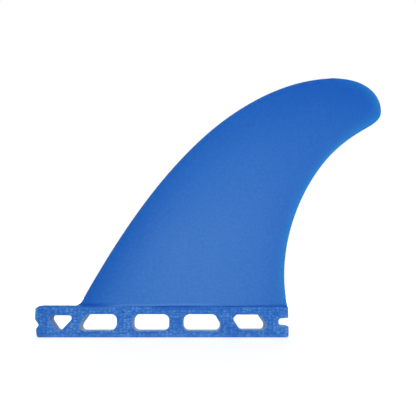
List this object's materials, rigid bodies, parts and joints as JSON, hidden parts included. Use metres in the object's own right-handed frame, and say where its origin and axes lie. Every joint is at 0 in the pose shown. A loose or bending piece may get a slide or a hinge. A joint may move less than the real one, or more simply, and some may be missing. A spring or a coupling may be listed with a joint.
{
  "type": "surfboard fin",
  "caption": "Swept surfboard fin moulded in one piece: a symmetric foiled blade with a rounded raked tip on a long flat tab with windows, a notched front end and a slotted rear end",
  "frame": {"origin": "centre of the tab's flat underside, halfway along the tab and halfway through its thickness", "axes": "+Z from the tab up through the blade, +X from the leading end of the tab to the trailing end and the tip, Y through the thickness"},
  "size_m": [0.187, 0.0094, 0.1425],
  "materials": {
    "composite": "satin blue glass-fibre composite, woven texture on the tab"
  },
  "bodies": {
    "root": {"fin": "composite"}
  },
  "joints": []
}
